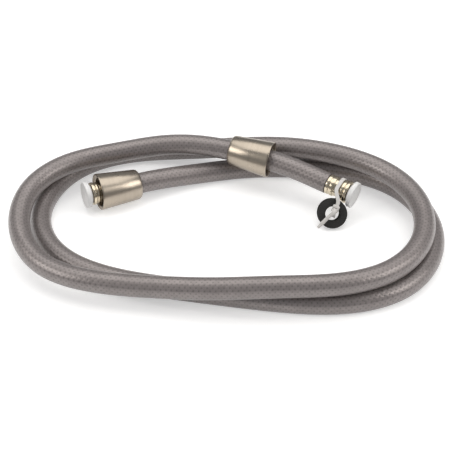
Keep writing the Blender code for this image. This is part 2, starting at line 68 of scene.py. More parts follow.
# Hose layers: the outer size is a diameter, and the sizes under it are radii.
HOSE_OUTER = 0.0135
JACKET_BORE = 0.00545
JACKET_UNDER = 0.0002        # least wall where the hose lies flattened on the floor
BRAID_OUTER = 0.00508
BRAID_BORE = 0.00480
TUBE_OUTER = 0.00446
TUBE_BORE = 0.00390
JACKET_SIDES = 32
LAYER_SIDES = 16
RING_SPACING = 0.0030
FITTING_LENGTH = 0.0150      # sealing face to the back of the ferrule
PUSHED_ON = 0.0052           # sealing face to the end of the inner tube

# Course of the hose from fitting A's sealing face to the back of fitting B. It leaves A straight, follows the
# route, and reaches B on an arc in a tilted plane. Headings are in plan, in degrees.
END_A = (-0.0877, 0.0211, 0.0119)
HEADING_A = 23.5
DROP_A = 2.6
STRAIGHT_A = 0.036
ROUTE = (
    (-0.0210, 0.0490, 0.0068), (0.0175, 0.0575, 0.0054), (0.0410, 0.0580, 0.0054),
    (0.0825, 0.0530, 0.0054), (0.1125, 0.0355, 0.0054), (0.1290, 0.0030, 0.0054),
    (0.1260, -0.0320, 0.0054), (0.1060, -0.0600, 0.0054), (0.0735, -0.0730, 0.0054),
    (0.0375, -0.0730, 0.0054), (0.0015, -0.0675, 0.0054), (-0.0360, -0.0605, 0.0054),
    (-0.0710, -0.0515, 0.0054), (-0.1025, -0.0320, 0.0054), (-0.1180, -0.0025, 0.0054),
    (-0.1150, 0.0325, 0.0054), (-0.0955, 0.0605, 0.0054), (-0.0630, 0.0745, 0.0058),
    (-0.0240, 0.0740, 0.0090), (0.0110, 0.0690, 0.0146), (0.0440, 0.0613, 0.0197),
    (0.0760, 0.0510, 0.0207), (0.1040, 0.0335, 0.0201), (0.1210, 0.0040, 0.0195),
    (0.1195, -0.0305, 0.0187), (0.0975, -0.0600, 0.0189), (0.0660, -0.0735, 0.0202),
    (0.0315, -0.0760, 0.0203), (-0.0125, -0.0745, 0.0175), (-0.0410, -0.0705, 0.0151),
    (-0.0835, -0.0630, 0.0140), (-0.1110, -0.0480, 0.0132), (-0.1275, -0.0210, 0.0152),
    (-0.1250, 0.0185, 0.0191), (-0.1030, 0.0440, 0.0196), (-0.0720, 0.0560, 0.0198),
    (-0.0380, 0.0605, 0.0227),
)
END_B = (0.0660, 0.0252, 0.0172)
HEADING_B = -32.0
ARC_TILT = 11.0
ARC_RADIUS = 0.200
ARC_SWEEP = 20.0
CURVE_STEPS = 24             # points between two points of the route

# Braid under the jacket: one turn of a thread along the hose, and how many run each way.
BRAID_LEAD = 0.0384
BRAID_STARTS = 12
BRAID_UNDER = 0.65           # height of a thread where it passes under another, as a share of its full height

# Fitting.
FLANGE_RADIUS = 0.0074
FLANGE_THICK = 0.0019
NECK_RADIUS = 0.0063
COLLAR_RADIUS = 0.0069
COLLAR_START = 0.0026
COLLAR_END = 0.0046
NIPPLE_BORE = 0.0023
BARB_RADIUS = 0.0031
BARB_HEIGHT = 0.0003
BARB_PITCH = 0.0026
BARB_COUNT = 4
BARB_FALL = 0.4              # share of the pitch over which a barb falls to its foot
FERRULE_START = 0.0049
FERRULE_LENGTH = 0.0101
FERRULE_RADIUS = 0.0066
FERRULE_BORE = 0.0049
WAIST_RADIUS = 0.0059
WAIST_LENGTH = 0.0047
BEAD_LENGTH = 0.0021
BEAD_GROOVE = 0.0011
BEAD_DEPTH = 0.0005

# Plug.
CAP_RADIUS = 0.00865
CAP_THICK = 0.0031
CAP_NECK_RADIUS = 0.0062
CAP_NECK = 0.0013
CAP_STEM = 0.0080
CAP_STEM_RADIUS = 0.0019
CAP_STEM_TIP = 0.7           # share of the stem's radius that its tapered end keeps
CAP_DISH = 0.0003
CAP_DISH_RIM = 0.72          # shares of the head's radius at which its dish starts and reaches its depth
CAP_DISH_FLOOR = 0.66
CAP_PIP = 0.0007

# Nut and guide bush.
NUT_MOUTH_RADIUS = 0.0120
NUT_TAIL_RADIUS = 0.0098
NUT_LENGTH = 0.0280
NUT_EDGE = 0.0006
NUT_TAIL_ROUND = 0.0018
NUT_TAIL_STEP = 10           # degrees of the tail's round between two rows of its mesh
THREAD_MAJOR = 0.01048
THREAD_MINOR = 0.00930
THREAD_PITCH = 0.001814
THREAD_LENGTH = 0.0091
THREAD_ROWS = 10             # rows of the mesh to a pitch
THREAD_RUN_IN = 0.8          # shares of a pitch over which the thread grows at the mouth and fades at its end
THREAD_RUN_OUT = 0.6
LIP = 0.0004                 # bevel of a bore's edge
SHOULDER_DEPTH = 0.0120
NUT_NECK_RADIUS = 0.0081
BUSH_FRONT = 0.0105
BUSH_BORE = 0.0071
BUSH_FLANGE = 0.0012
BUSH_FLANGE_RADIUS = 0.0091
BUSH_SLEEVE = 0.0042
BUSH_SLEEVE_RADIUS = 0.00775
BUSH_LAND = 0.0030
NUT_A_BACK = 0.0046          # fitting A's sealing face to the mouth of its nut
NUT_A_TIP = 1.4              # degrees that nut A falls more than its fitting
NUT_B_TURN = 11.65           # degrees back along the arc from its end to nut B's bush

# Washers and their tie.
WASHER_RADIUS = 0.00935
WASHER_HOLE = 0.00475
WASHER_THICK = 0.0020
WASHER_LEAN = 40.0           # degrees that their faces look up from level
WASHER_ALONG = 0.0026        # from the waist's middle towards the sealing face
WASHER_SLIP = 0.0009         # how much lower the front one lies
WASHER_SHIFT = 0.0006        # and how far to the right
WASHER_LINE = 0.00006        # moulding line round the rim
TIE_WIDTH = 0.0024
TIE_THICK = 0.0010
TIE_HEAD = (0.0044, 0.0046, 0.0026)     # across the strap, along it and through
TIE_HEAD_ROUND = 0.0005
PAWL_WIDTH = 0.6             # share of the slot's width that the pawl fills
TIE_HEAD_RISE = 0.0036       # head and slot above the middle of the front washer
TIE_SLOT_RISE = 0.0029
TIE_LOBE = 0.0012            # how low the strap comes through the holes
TIE_SIDE = 0.0010            # how far it sways to one side
TIE_SLACK = 0.0012           # how far it stands off behind the back washer
TIE_TAIL = 0.0150
TIE_TAIL_TURN = 20.0
TIE_TURN = (90, 300, 25)     # degrees round the waist: first, end and step of the points
TIE_TIP = 0.72               # share of the width that the tip keeps
TIE_TIP_LENGTH = 0.0030
TIE_RAIL = 0.66              # share of the half width at which a side rail starts
TIE_SOFT = 0.00012           # bevel along the strap
TOOTH_PITCH = 0.0008
TOOTH_DEPTH = 0.00022
TOOTH_ROWS = 4               # rows of the mesh to a tooth
TEETH_FROM_TIP = 0.0022
TEETH_FROM_HEAD = 0.0200
STRAP_STEPS = 40             # points between two points of the strap's middle line

# Turned pieces.
TURNED_SIDES = 96
ON_AXIS = 1e-7               # a radius below this is a point on the axis
EASE_SHARE = 0.45            # most of a neighbouring edge that a rounded corner may take
EASE_LEAST = 12.0            # corners that turn less than this many degrees stay as they are
NIPPLE_EASE = (0.0004, 4)    # how far the rounding of a piece's corners reaches, and its steps
FERRULE_EASE = (0.0005, 4)
CAP_EASE = (0.0007, 5)
NUT_MOUTH_EASE = (0.00035, 4)
NUT_BORE_EASE = (0.0003, 3)
BUSH_EASE = (0.0002, 2)
WASHER_EASE = (0.00028, 3)
SHARP = 35.0                 # edges that turn more than this many degrees are shaded as edges
TIE_SHARP = 50.0

# Metals: their colour and its darker shade.
PLATE = ((0.68, 0.60, 0.46, 1.0), (0.60, 0.52, 0.40, 1.0))
NICKEL = ((0.43, 0.375, 0.31, 1.0), (0.37, 0.32, 0.26, 1.0))
STREAKS = 160.0              # noise cells to a metre across the axis, few enough to run as lines round it

# Floor and light.
FLOOR_HALF = 6.0
FLOOR_DROP = 0.00005
FLOOR_GLOW = 0.42
PAPER = (0.82, 0.82, 0.82, 1.0)
WHITE = (1.0, 1.0, 1.0, 1.0)
ROOM = (0.93, 0.96, 1.0, 1.0)
ROOM_STRENGTH = 0.30
SIDE_LAMP = ((0.8, 0.6), 5.8, (1.0, 0.97, 0.93))
LAMPS = (
    ("overhead", (0.0, 0.35, 1.25), (1.8, 1.3), 12.0, (1.0, 0.98, 0.95)),
    ("left", (-1.1, -0.35, 0.75), *SIDE_LAMP),
    ("right", (1.1, -0.25, 0.75), *SIDE_LAMP),
)


# ---------------------------------------------------------------- camera

def camera():
    """Camera in front of the coil, looking down on it."""
    aim = Vector(CAMERA_AIM)
    data = bpy.data.cameras.new("camera")
    data.lens = CAMERA_LENS
    data.sensor_width = CAMERA_FILM
    data.clip_start = 0.01
    data.clip_end = 50.0
    made = bpy.data.objects.new("camera", data)
    made.location = aim + Vector(CAMERA_STAND)
    made.rotation_mode = "QUATERNION"
    made.rotation_quaternion = (aim - made.location).to_track_quat("-Z", "Y")
    bpy.context.scene.collection.objects.link(made)
    bpy.context.scene.camera = made


# ---------------------------------------------------------------- the course of the hose

def placed(origin, along):
    """Matrix whose X runs along a direction and whose Z leans upwards."""
    x = Vector(along).normalized()
    y = UP.cross(x).normalized()
    turn = Matrix((x, y, x.cross(y))).transposed().to_4x4()
    return Matrix.Translation(origin) @ turn


def direction(heading, drop=0.0):
    """Unit vector with a plan heading and a fall below level, in degrees."""
    level = cos(radians(drop))
    return Vector((cos(radians(heading)) * level, sin(radians(heading)) * level, -sin(radians(drop))))


def arc_normal():
    """Normal of the plane in which the hose curves ahead of fitting B."""
    return Vector((0.0, -sin(radians(ARC_TILT)), cos(radians(ARC_TILT))))


def direction_b():
    """Direction of fitting B, out of the hose."""
    flat = direction(HEADING_B)
    return (flat - arc_normal() * flat.dot(arc_normal())).normalized()


def on_arc(turn):
    """Point and forward direction on the arc, a number of degrees back from its end."""
    end = Vector(END_B) - direction_b() * HOSE_OUTER
    centre = end + direction_b().cross(arc_normal()) * ARC_RADIUS
    back = Matrix.Rotation(radians(turn), 3, arc_normal())
    return centre + back @ (end - centre), back @ direction_b()


def smooth_curve(points, first, last, steps):
    """Points along the cubic spline through some points, with given directions at its two ends."""
    through = np.array([tuple(point) for point in points])
    spans = np.linalg.norm(np.diff(through, axis=0), axis=1)
    slopes = np.diff(through, axis=0) / spans[:, None]
    system = np.eye(len(through))
    known = np.zeros((len(through), 3))
    known[0] = tuple(first)
    known[-1] = tuple(last)
    for i in range(1, len(through) - 1):
        system[i, i - 1:i + 2] = (spans[i], 2 * (spans[i - 1] + spans[i]), spans[i - 1])
        known[i] = 3 * (spans[i] * slopes[i - 1] + spans[i - 1] * slopes[i])
    tangents = np.linalg.solve(system, known)
    curve = []
    for i, span in enumerate(spans):
        for t in np.arange(steps) / steps:
            start = (1 + 2 * t) * (1 - t) ** 2 * through[i] + t * (1 - t) ** 2 * span * tangents[i]
            stop = t * t * (3 - 2 * t) * through[i + 1] - t * t * (1 - t) * span * tangents[i + 1]
            curve.append(Vector(start + stop))
    curve.append(Vector(through[-1]))
    return curve


def hose_curve():
    """Fine points from the sealing face of fitting A to the back of fitting B."""
    into = direction(HEADING_A, DROP_A)
    arc_start, arc_direction = on_arc(ARC_SWEEP)
    bend_start = Vector(END_A) + into * STRAIGHT_A
    free = smooth_curve([bend_start, *ROUTE, arc_start], into, arc_direction, CURVE_STEPS)
    arc = [on_arc(ARC_SWEEP * (1 - i / CURVE_STEPS))[0] for i in range(1, CURVE_STEPS + 1)]
    return [Vector(END_A), *free, *arc, Vector(END_B)]


def stations(start_back, stop_past):
    """Ring centres an even spacing apart, and how far along the hose each lies.

    The first is start_back behind fitting A's sealing face, the last stop_past beyond the back of fitting B.
    """
    curve = hose_curve()
    curve.append(Vector(END_B) + direction_b() * stop_past)
    points = np.array([tuple(point) for point in curve])
    run = np.concatenate([[0.0], np.cumsum(np.linalg.norm(np.diff(points, axis=0), axis=1))])
    count = round((run[-1] - start_back) / RING_SPACING) + 1
    at = np.linspace(start_back, run[-1], count)
    centres = np.stack([np.interp(at, run, points[:, k]) for k in range(3)], axis=1)
    return [Vector(centre) for centre in centres], at


# ---------------------------------------------------------------- mesh tools

def finished(name, shape, made_of, placing=None, sharp=SHARP):
    """Turn a finished bmesh into a smooth-shaded object."""
    bmesh.ops.recalc_face_normals(shape, faces=shape.faces)
    mesh = bpy.data.meshes.new(name)
    shape.to_mesh(mesh)
    shape.free()
    mesh.shade_smooth()
    mesh.set_sharp_from_angle(angle=radians(sharp))
    for one in made_of:
        mesh.materials.append(one)
    made = bpy.data.objects.new(name, mesh)
    if placing is not None:
        made.matrix_world = placing
    bpy.context.scene.collection.objects.link(made)
    return made


def eased(outline, reach, steps):
    """Round every corner of an outline of (distance, radius) pairs by up to a reach."""
    points = [Vector(point) for point in outline]
    rounded = [points[0]]
    for before, corner, after in zip(points, points[1:], points[2:]):
        back = before - corner
        ahead = after - corner
        size = min(reach, back.length * EASE_SHARE, ahead.length * EASE_SHARE)
        start = corner + back.normalized() * size
        stop = corner + ahead.normalized() * size
        if back.angle(-ahead) < radians(EASE_LEAST):
            rounded.append(corner)
            continue
        for i in range(steps + 1):
            t = i / steps
            rounded.append(start * (1 - t) ** 2 + corner * 2 * t * (1 - t) + stop * t * t)
    rounded.append(points[-1])
    return [tuple(point) for point in rounded]


def spun(name, outline, made_of, placing, closed=True, wall=None):
    """Spin an outline about X. A row whose radius is None takes it from wall(distance, angle)."""
    shape = bmesh.new()
    rows = []
    for distance, radius in outline:
        if radius is not None and radius < ON_AXIS:
            rows.append([shape.verts.new((distance, 0.0, 0.0))])
            continue
        row = []
        for i in range(TURNED_SIDES):
            angle = tau * i / TURNED_SIDES
            here = wall(distance, angle) if radius is None else radius
            row.append(shape.verts.new((distance, -here * sin(angle), here * cos(angle))))
        rows.append(row)
    pairs = list(zip(rows, rows[1:]))
    if closed:
        pairs.append((rows[-1], rows[0]))
    for lower, upper in pairs:
        for i in range(TURNED_SIDES):
            j = (i + 1) % TURNED_SIDES
            corners = [row[k % len(row)] for row, k in ((lower, i), (lower, j), (upper, j), (upper, i))]
            shape.faces.new([corner for k, corner in enumerate(corners) if corner not in corners[:k]])
    return finished(name, shape, [made_of], placing)


# ---------------------------------------------------------------- hose

def add_layer(shape, course, centres, runs, radius, sides, slot_number, lowest):
    """Add one open tube to a bmesh, flattened at a lowest height, and return its end rings.

    Its UVs hold its course: turns of a braid thread along the hose, and share of the way round.
    """
    rings = []
    for i, centre in enumerate(centres):
        along = (centres[min(i + 1, len(centres) - 1)] - centres[max(i - 1, 0)]).normalized()
        side = along.cross(UP).normalized()
        up = side.cross(along)
        ring = []
        for k in range(sides):
            angle = tau * k / sides
            point = centre + side * radius * sin(angle) - up * radius * cos(angle)
            point.z = max(point.z, lowest)
            ring.append(shape.verts.new(point))
        rings.append(ring)
    for i in range(len(rings) - 1):
        for k in range(sides):
            j = (k + 1) % sides
            face = shape.faces.new((rings[i][k], rings[i][j], rings[i + 1][j], rings[i + 1][k]))
            face.material_index = slot_number
            ends = ((i, k), (i, k + 1), (i + 1, k + 1), (i + 1, k))
            for loop, (ring, step) in zip(face.loops, ends):
                loop[course].uv = (runs[ring] / BRAID_LEAD, step / sides)
    return rings[0], rings[-1]


def close_layer(shape, outer, inner, slot_number):
    """Fill the ring-shaped end between two rings of vertices, one triangle at a time."""
    i = 0
    j = 0
    while i < len(outer) or j < len(inner):
        if (i + 0.5) / len(outer) <= (j + 0.5) / len(inner):
            corners = (outer[i % len(outer)], outer[(i + 1) % len(outer)], inner[j % len(inner)])
            i += 1
        else:
            corners = (outer[i % len(outer)], inner[(j + 1) % len(inner)], inner[j % len(inner)])
            j += 1
        shape.faces.new(corners).material_index = slot_number


def hose(finish):
    """Jacket, braid and inner tube as one piece; the inner tube alone runs on inside the ferrules."""
    shape = bmesh.new()
    course = shape.loops.layers.uv.new("course")
    inside = FITTING_LENGTH - PUSHED_ON
    layers = (
        (FITTING_LENGTH + GAP, -GAP, HOSE_OUTER / 2, JACKET_SIDES, JACKET_BORE, JACKET_UNDER),
        (FITTING_LENGTH + GAP, -GAP, BRAID_OUTER, LAYER_SIDES, BRAID_BORE, 0.0),
        (PUSHED_ON, inside, TUBE_OUTER, LAYER_SIDES, TUBE_BORE, 0.0),
    )
    for number, (start, stop, outer, sides, bore, under) in enumerate(layers):
        centres, runs = stations(start, stop)
        out = add_layer(shape, course, centres, runs, outer, sides, number, 0.0)
        bored = add_layer(shape, course, centres, runs, bore, LAYER_SIDES, number, under)
        for end in (0, 1):
            close_layer(shape, out[end], bored[end], number)
    made = finished("hose", shape, [finish["jacket"], finish["braid"], finish["inner_tube"]])
    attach(made, "hose")
    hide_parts("hose_jacket", "hose_braid", "hose_inner_tube")
    return made, centres


# ---------------------------------------------------------------- end fittings

def dress(made, body, node):
    """Put a piece on its body in place of its solid."""
    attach(made, body)
    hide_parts(node)
    return made


def nipple(side, placing, made_of):
    """Flange, neck and collar outside the hose, barbs inside its inner tube, and a bore through all."""
    foot = BARB_RADIUS - BARB_HEIGHT
    outline = [(LIP, NIPPLE_BORE), (0.0, NIPPLE_BORE + LIP), (0.0, FLANGE_RADIUS),
               (FLANGE_THICK, FLANGE_RADIUS), (FLANGE_THICK, NECK_RADIUS), (COLLAR_START, NECK_RADIUS),
               (COLLAR_START, COLLAR_RADIUS), (COLLAR_END, COLLAR_RADIUS), (COLLAR_END, foot)]
    outline = eased(outline, *NIPPLE_EASE)
    first = COLLAR_END + GAP + BARB_PITCH
    for i in range(BARB_COUNT):
        outline += [(first + i * BARB_PITCH, BARB_RADIUS), (first + (i + BARB_FALL) * BARB_PITCH, foot)]
    end = first + BARB_COUNT * BARB_PITCH
    outline += [(end, foot), (end, NIPPLE_BORE)]
    made = spun("nipple_finish_" + side, outline, made_of, placing)
    return dress(made, "hose", "nipple_" + side)


def ferrule(side, placing, made_of):
    """Sleeve over the end of the inner tube: a slim waist, a small step, then two rounded beads."""
    waist = FERRULE_START + WAIST_LENGTH
    groove = waist + BEAD_LENGTH
    bead = groove + BEAD_GROOVE
    stop = FERRULE_START + FERRULE_LENGTH
    outline = [(FERRULE_START, FERRULE_BORE), (FERRULE_START, WAIST_RADIUS), (waist, WAIST_RADIUS),
               (waist, FERRULE_RADIUS), (groove, FERRULE_RADIUS), (groove, FERRULE_RADIUS - BEAD_DEPTH),
               (bead, FERRULE_RADIUS - BEAD_DEPTH), (bead, FERRULE_RADIUS), (stop, FERRULE_RADIUS),
               (stop, FERRULE_BORE)]
    made = spun("ferrule_finish_" + side, eased(outline, *FERRULE_EASE), made_of, placing)
    return dress(made, "hose", "ferrule_" + side)


def plug(side, placing, made_of):
    """Mushroom plug: stem in the bore, small neck against the flange, and a wide head with a dished face."""
    neck = -GAP - CAP_NECK
    face = neck - CAP_THICK
    floor_of_dish = face + CAP_DISH
    stem = [(CAP_STEM, 0.0), (CAP_STEM, CAP_STEM_RADIUS * CAP_STEM_TIP),
            (CAP_STEM - CAP_STEM_RADIUS, CAP_STEM_RADIUS), (-GAP, CAP_STEM_RADIUS), (-GAP, CAP_NECK_RADIUS),
            (neck, CAP_NECK_RADIUS), (neck, CAP_RADIUS), (face, CAP_RADIUS)]
    head = [(face, CAP_RADIUS * CAP_DISH_RIM), (floor_of_dish, CAP_RADIUS * CAP_DISH_FLOOR),
            (floor_of_dish, CAP_PIP * 1.6), (floor_of_dish, CAP_PIP), (face, CAP_PIP * 0.8), (face, 0.0)]
    outline = eased(stem + head, *CAP_EASE)
    made = spun("plug_finish_" + side, outline, made_of, placing, closed=False)
    return dress(made, "plug_" + side, "cap_" + side)


# ---------------------------------------------------------------- nuts and bushes

def thread_wall(distance, angle):
    """Radius of the nut's bore at a place of its thread, a rounded helix that fades at both ends."""
    turn = distance / THREAD_PITCH - angle / tau
    wave = 0.5 + 0.5 * cos(tau * turn)
    wave = wave * wave * (3 - 2 * wave)
    grown = distance / (THREAD_RUN_IN * THREAD_PITCH)
    left = max(0.0, THREAD_LENGTH - distance) / (THREAD_RUN_OUT * THREAD_PITCH)
    return THREAD_MAJOR - (THREAD_MAJOR - THREAD_MINOR) * wave * min(1.0, grown, left)


def nut(side, placing, made_of):
    """Conical sleeve nut: helical thread, shoulder for the bush, and a neck that clears the hose."""
    slope = (NUT_TAIL_RADIUS - NUT_MOUTH_RADIUS) / NUT_LENGTH
    straight = NUT_LENGTH - NUT_TAIL_ROUND
    mouth = eased([(LIP, THREAD_MAJOR), (0.0, THREAD_MAJOR + LIP), (0.0, NUT_MOUTH_RADIUS - NUT_EDGE * 0.4),
                   (NUT_EDGE, NUT_MOUTH_RADIUS + slope * NUT_EDGE),
                   (straight / 2, NUT_MOUTH_RADIUS + slope * straight / 2)], *NUT_MOUTH_EASE)
    tail = [(straight, NUT_MOUTH_RADIUS + slope * straight)]
    for angle in range(NUT_TAIL_STEP, 90, NUT_TAIL_STEP):
        turned = radians(angle)
        inwards = NUT_TAIL_ROUND * (1 - cos(turned))
        tail.append((straight + NUT_TAIL_ROUND * sin(turned), NUT_TAIL_RADIUS - inwards))
    bore = eased([tail[-1], (NUT_LENGTH, NUT_NECK_RADIUS), (SHOULDER_DEPTH, NUT_NECK_RADIUS),
                  (SHOULDER_DEPTH, THREAD_MAJOR), (THREAD_LENGTH, THREAD_MAJOR)], *NUT_BORE_EASE)
    rows = round(THREAD_LENGTH / THREAD_PITCH * THREAD_ROWS)
    thread = [(THREAD_LENGTH + (LIP - THREAD_LENGTH) * i / rows, None) for i in range(1, rows)]
    made = spun("nut_finish_" + side, mouth + tail + bore[1:] + thread, made_of, placing, wall=thread_wall)
    return dress(made, "swivel_" + side, "nut_" + side)


def guide_bush(side, placing, made_of):
    """Flange on the nut's shoulder, a short land on the hose, and a sleeve in the nut's neck."""
    back = BUSH_FRONT + BUSH_FLANGE
    relief = (BUSH_BORE + BUSH_SLEEVE_RADIUS) / 2
    land = BUSH_FRONT + BUSH_LAND
    outline = [(BUSH_FRONT, BUSH_BORE), (BUSH_FRONT, BUSH_FLANGE_RADIUS), (back, BUSH_FLANGE_RADIUS),
               (back, BUSH_SLEEVE_RADIUS), (back + BUSH_SLEEVE, BUSH_SLEEVE_RADIUS),
               (back + BUSH_SLEEVE, relief), (land, relief), (land, BUSH_BORE)]
    made = spun("bush_finish_" + side, eased(outline, *BUSH_EASE), made_of, placing)
    return dress(made, "bush_" + side, "guide_bush_" + side)


def nut_on_hose(side, point, along, finish):
    """A nut and its bush, with the middle of the bush's land at a point of the hose."""
    placing = placed(point - along * (BUSH_FRONT + BUSH_LAND / 2), along)
    return [guide_bush(side, placing, finish["bush"]), nut(side, placing, finish["nut"])]


# ---------------------------------------------------------------- washers and their tie

def waist_middle():
    """Middle of fitting B's waist."""
    return Vector(END_B) + direction_b() * (FERRULE_LENGTH - WAIST_LENGTH / 2)


def washer_places():
    """Middles of the back and front washer, and the direction their faces look."""
    lean = radians(WASHER_LEAN)
    face = Vector((0.0, -cos(lean), sin(lean)))
    rise = Vector((0.0, sin(lean), cos(lean)))
    height = WASHER_RADIUS * cos(lean) + WASHER_THICK / 2 * sin(lean)
    reach = FLANGE_RADIUS + GAP + WASHER_RADIUS
    middle = waist_middle() + direction_b() * WASHER_ALONG
    below = middle.z - height
    sideways = direction_b().cross(UP).normalized()
    back = middle + sideways * sqrt(reach ** 2 - below ** 2)
    back.z = height
    front = back + face * (WASHER_THICK + GAP) - rise * WASHER_SLIP + Vector((WASHER_SHIFT, 0.0, 0.0))
    return back, front, face


def washer(number, place, face, made_of, body):
    """Flat sealing washer with softened edges and a fine moulding line round it."""
    half = WASHER_THICK / 2
    line = WASHER_LINE
    # The outline starts and ends on the flat back, so that all its corners are rounded.
    start = (-half, WASHER_HOLE + 0.0008)
    outline = [start, (-half, WASHER_RADIUS), (-line, WASHER_RADIUS), (0.0, WASHER_RADIUS + line),
               (line, WASHER_RADIUS), (half, WASHER_RADIUS), (half, WASHER_HOLE), (-half, WASHER_HOLE), start]
    made = spun(f"washer_finish_{number}", eased(outline, *WASHER_EASE)[:-1], made_of, placed(place, face))
    return dress(made, body, f"washer_{number}")


def waist_frame():
    """Origin and axes of the strap's turn round the waist: along it, down to the washers, to the front."""
    along = direction_b()
    down = washer_places()[0] - waist_middle()
    down = (down - along * down.dot(along)).normalized()
    origin = waist_middle() + along * (WAIST_LENGTH / 2 - TIE_WIDTH / 2 - GAP)
    return origin, along, down, down.cross(along)


def head_frame():
    """Origin and axes of the tie's head: the front washer's middle, across the strap, down, outwards."""
    front, face = washer_places()[1:]
    across = direction_b()
    across = (across - face * across.dot(face)).normalized()
    return front, across, across.cross(face), face


def in_frame(axes, points):
    """World places of points given in a frame's own axes."""
    origin, x, y, z = axes
    return [origin + x * a + y * b + z * c for a, b, c in points]


def strap_line():
    """Middle line of the strap, with the direction across it at each point.

    It runs from the head round the waist, back through both washers, through the slot and out as a tail.
    """
    face = WASHER_THICK / 2 + GAP
    head_out = face + TIE_HEAD[2] / 2
    head_top = -TIE_HEAD_RISE - TIE_HEAD[1] / 2
    root = [(0.0, head_top + TIE_THICK / 2, head_out), (0.0, head_top - TIE_THICK, head_out)]
    radius = WAIST_RADIUS + 1.5 * GAP + TIE_THICK / 2
    turn = [radians(angle) for angle in range(*TIE_TURN)]
    round_waist = [(0.2 * TIE_SIDE, 0.6 * radius, 1.06 * radius)]
    round_waist += [(0.0, radius * cos(angle), radius * sin(angle)) for angle in turn]
    round_waist.append((-0.2 * TIE_SIDE, radius, -0.7 * radius))
    behind = -1.5 * WASHER_THICK - GAP - TIE_THICK
    lobe = [(0.2 * TIE_SIDE, -WASHER_HOLE, behind - TIE_SLACK),
            (TIE_SIDE, -TIE_SIDE, behind - TIE_SLACK / 3),
            (1.2 * TIE_SIDE, TIE_LOBE, behind + 1.1 * WASHER_THICK),
            (TIE_SIDE, 0.8 * TIE_LOBE, -0.1 * WASHER_THICK)]
    slot = [(0.3 * TIE_SIDE, -TIE_SLOT_RISE + 0.9 * TIE_THICK, face - 0.4 * TIE_THICK),
            (0.0, -TIE_SLOT_RISE, head_out),
            (0.0, -TIE_SLOT_RISE - 0.1 * TIE_THICK, face + TIE_HEAD[2] + 0.4 * TIE_THICK)]
    lean = radians(TIE_TAIL_TURN)
    over = face + TIE_HEAD[2] + TIE_THICK
    tail = [(-TIE_TAIL * share * sin(lean), TIE_TAIL * share * cos(lean) - TIE_SLOT_RISE + TIE_THICK,
             over + lift * TIE_THICK) for share, lift in ((0.02, 0.3), (0.3, 0.0), (0.65, -0.4), (1.0, -1.2))]
    head = head_frame()
    waist = waist_frame()
    line = [(place, head[1]) for place in in_frame(head, root)]
    line += [(place, waist[1]) for place in in_frame(waist, round_waist)]
    line += [(place, head[1]) for place in in_frame(head, lobe + slot + tail)]
    return line


def strap_section(tooth, taper):
    """Section of the strap: two side rails, and between them a bed that rises to each tooth."""
    wide = TIE_WIDTH / 2 * taper
    thick = TIE_THICK / 2
    soft = TIE_SOFT
    rail = wide * TIE_RAIL
    bed = thick - tooth
    return [(wide - soft, thick), (wide, thick - soft), (wide, soft - thick), (wide - soft, -thick),
            (soft - wide, -thick), (-wide, soft - thick), (-wide, thick - soft), (soft - wide, thick),
            (-rail - soft, thick), (-rail, bed), (rail, bed), (rail + soft, thick)]


def strap(shape):
    """Sweep the strap along its middle line, toothed on its inner side, with a tapered tip."""
    line = strap_line()
    places = [place for place, across in line]
    first = (places[1] - places[0]).normalized()
    last = (places[-1] - places[-2]).normalized()
    curve = smooth_curve(places, first, last, STRAP_STEPS)
    run = np.concatenate([[0.0], np.cumsum([(b - a).length for a, b in zip(curve, curve[1:])])])
    count = round(run[-1] / (TOOTH_PITCH / TOOTH_ROWS))
    rings = []
    for k in range(count + 1):
        at = run[-1] * k / count
        i = min(int(np.searchsorted(run, at, side="right")) - 1, len(curve) - 2)
        share = (at - run[i]) / (run[i + 1] - run[i])
        point = curve[i].lerp(curve[i + 1], share)
        ahead = (curve[min(i + 2, len(curve) - 1)] - curve[max(i - 1, 0)]).normalized()
        passed = (i + share) / STRAP_STEPS
        before = line[min(int(passed), len(line) - 1)][1]
        after = line[min(int(passed) + 1, len(line) - 1)][1]
        across = before.lerp(after, passed - int(passed))
        wide = (across - ahead * across.dot(ahead)).normalized()
        thick = wide.cross(ahead).normalized()
        left = run[-1] - at
        toothed = TEETH_FROM_TIP < left < run[-1] - TEETH_FROM_HEAD
        tooth = TOOTH_DEPTH * (1 - (k % TOOTH_ROWS) / (TOOTH_ROWS - 1)) if toothed else 0.0
        taper = TIE_TIP + (1 - TIE_TIP) * min(1.0, left / TIE_TIP_LENGTH)
        rings.append([shape.verts.new(point + wide * x + thick * y) for x, y in strap_section(tooth, taper)])
    for lower, upper in zip(rings, rings[1:]):
        for i in range(len(lower)):
            j = (i + 1) % len(lower)
            shape.faces.new((lower[i], lower[j], upper[j], upper[i]))
    shape.faces.new(rings[0])
    shape.faces.new(rings[-1])


